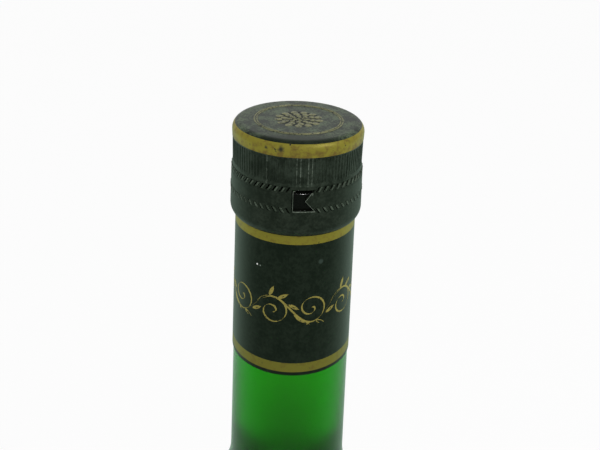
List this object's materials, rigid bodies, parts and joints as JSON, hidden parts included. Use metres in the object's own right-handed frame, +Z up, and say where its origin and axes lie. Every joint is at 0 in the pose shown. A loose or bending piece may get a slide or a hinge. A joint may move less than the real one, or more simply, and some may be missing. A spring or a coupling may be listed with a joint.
{
  "type": "cognac bottle",
  "caption": "Tall round cognac bottle in green glass with a sloping shoulder, long neck and black ribbed screw closure with a printed skirt.",
  "frame": {"origin": "centre of the face the bottle stands on", "axes": "+Z up along the bottle's axis, -Y the front with the window of the tamper ring a little to its right, +X to the right seen from the front"},
  "size_m": [0.0788, 0.0788, 0.3002],
  "materials": {
    "green_glass": "satin etched emerald green container glass",
    "cognac": "clear amber spirit",
    "inner_plastic": "moulded black plastic, glossy",
    "skirt_lacquer": "black lacquered skirt printed with dull gold bands",
    "closure_plastic": "moulded black plastic, satin, rubbed, with a dull gold rim band"
  },
  "bodies": {
    "root": {"bottle_glass": "green_glass", "cognac": "cognac", "inner_collar": "inner_plastic", "neck_sleeve": "skirt_lacquer", "tamper_ring": "closure_plastic", "cap": "closure_plastic"}
  },
  "joints": []
}
